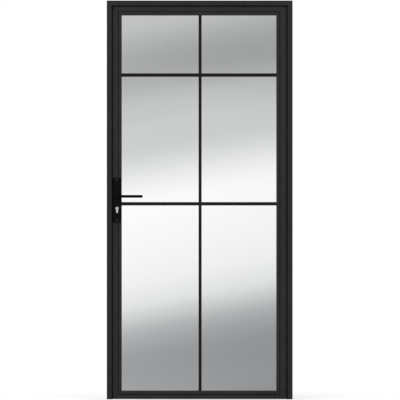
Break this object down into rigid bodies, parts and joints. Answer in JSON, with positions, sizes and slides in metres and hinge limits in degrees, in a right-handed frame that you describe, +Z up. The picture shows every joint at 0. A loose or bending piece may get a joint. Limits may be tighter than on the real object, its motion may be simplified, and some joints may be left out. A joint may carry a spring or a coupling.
{
  "type": "glazed door with frame",
  "caption": "Glazed door leaf of slim dark metal sections with glazing bars, hung in its frame on barrel hinges, with lever handles, latch and key cylinder.",
  "frame": {"origin": "middle of the frame's width and of the overall depth, on the floor", "axes": "+X to the hinge side, +Y from the front face to the rear, +Z up"},
  "size_m": [1, 0.1676, 2.146],
  "materials": {
    "powder_coat": "fine-texture black powder coat",
    "mill_aluminium": "mill finish",
    "black_rubber": "matt rubber",
    "clear_glass": "polished",
    "handle_black": "matt black",
    "black_screws": "black oxide",
    "hinge_black": "black powder coat",
    "bright_steel": "satin",
    "zinc_steel": "zinc plated",
    "nickel_brass": "satin nickel plated",
    "black_nylon": "moulded",
    "brush_pile": "dense pile"
  },
  "bodies": {
    "frame": {"jamb_lock": "powder_coat", "jamb_hinge": "powder_coat", "frame_head": "powder_coat", "stop_lock": "powder_coat", "stop_hinge": "powder_coat", "stop_head": "powder_coat", "frame_corner_cleats": "mill_aluminium", "frame_seals": "black_rubber", "strike_plate": "bright_steel", "strike_screws": "bright_steel", "hinge_bottom_frame_half": "hinge_black", "hinge_middle_frame_half": "hinge_black", "hinge_top_frame_half": "hinge_black", "hinge_pins": "bright_steel", "hinge_frame_screws": "black_screws"},
    "lever": {"lever_front": "handle_black", "lever_rear": "handle_black", "spindle": "bright_steel", "follower": "bright_steel", "grub_screws": "black_screws"},
    "latch": {"latch_bolt": "bright_steel"},
    "bolt": {"deadbolt": "bright_steel"},
    "front_key": {"plug_front": "nickel_brass", "cylinder_cam": "bright_steel"},
    "rear_key": {"plug_rear": "nickel_brass"},
    "leaf": {"stile_lock": "powder_coat", "stile_hinge": "powder_coat", "rail_top": "powder_coat", "rail_bottom": "powder_coat", "bead_lock": "powder_coat", "bead_hinge": "powder_coat", "bead_top": "powder_coat", "bead_bottom": "powder_coat", "bar_front_upright": "powder_coat", "bar_rear_upright": "powder_coat", "bar_front_crossings": "powder_coat", "bar_rear_crossings": "powder_coat", "rail_connectors": "mill_aluminium", "brush_carrier": "mill_aluminium", "glazing_gasket_front": "black_rubber", "glazing_gasket_rear": "black_rubber", "glass_pane": "clear_glass", "plate_front": "handle_black", "plate_rear": "handle_black", "plate_screws": "black_screws", "rail_foot_screws": "black_screws", "hinge_leaf_screws": "black_screws", "hinge_bottom_leaf_half": "hinge_black", "hinge_middle_leaf_half": "hinge_black", "hinge_top_leaf_half": "hinge_black", "lock_forend": "bright_steel", "lock_screws": "bright_steel", "lock_case": "zinc_steel", "lock_cover": "zinc_steel", "cylinder_body": "nickel_brass", "lever_bushes": "black_nylon", "hinge_bushes": "black_nylon", "stile_end_caps": "black_nylon", "setting_blocks": "black_nylon", "brush_seal": "brush_pile"}
  },
  "joints": [
    {"name": "leaf_swing", "type": "hinge", "parent": "frame", "child": "leaf", "pos_m": [0.482, 0.0305, 0], "axis": [0, 0, -1], "range_deg": [0, 110]},
    {"name": "lever_turn", "type": "hinge", "parent": "leaf", "child": "lever", "pos_m": [-0.4445, 0, 1.092], "axis": [0, 1, 0], "range_deg": [0, 40], "stiffness_Nm_per_rad": 1.2, "springref_deg": -45.84},
    {"name": "latch_slide", "type": "slide", "parent": "leaf", "child": "latch", "axis": [1, 0, 0], "range_m": [0, 0.011]},
    {"name": "front_key_turn", "type": "hinge", "parent": "leaf", "child": "front_key", "pos_m": [-0.4445, 0, 1.027], "axis": [0, 1, 0], "range_deg": [0, 360]},
    {"name": "deadbolt_slide", "type": "slide", "parent": "leaf", "child": "bolt", "axis": [-1, 0, 0], "range_m": [0, 0.014]},
    {"name": "rear_key_turn", "type": "hinge", "parent": "leaf", "child": "rear_key", "pos_m": [-0.4445, 0, 1.027], "axis": [0, 1, 0], "range_deg": [0, 360]}
  ],
  "couplings": [
    {"joint": "latch_slide", "follows": "lever_turn", "m_per_rad": 0.01575},
    {"joint": "front_key_turn", "follows": "deadbolt_slide", "rad_per_m": 448.79}
  ]
}
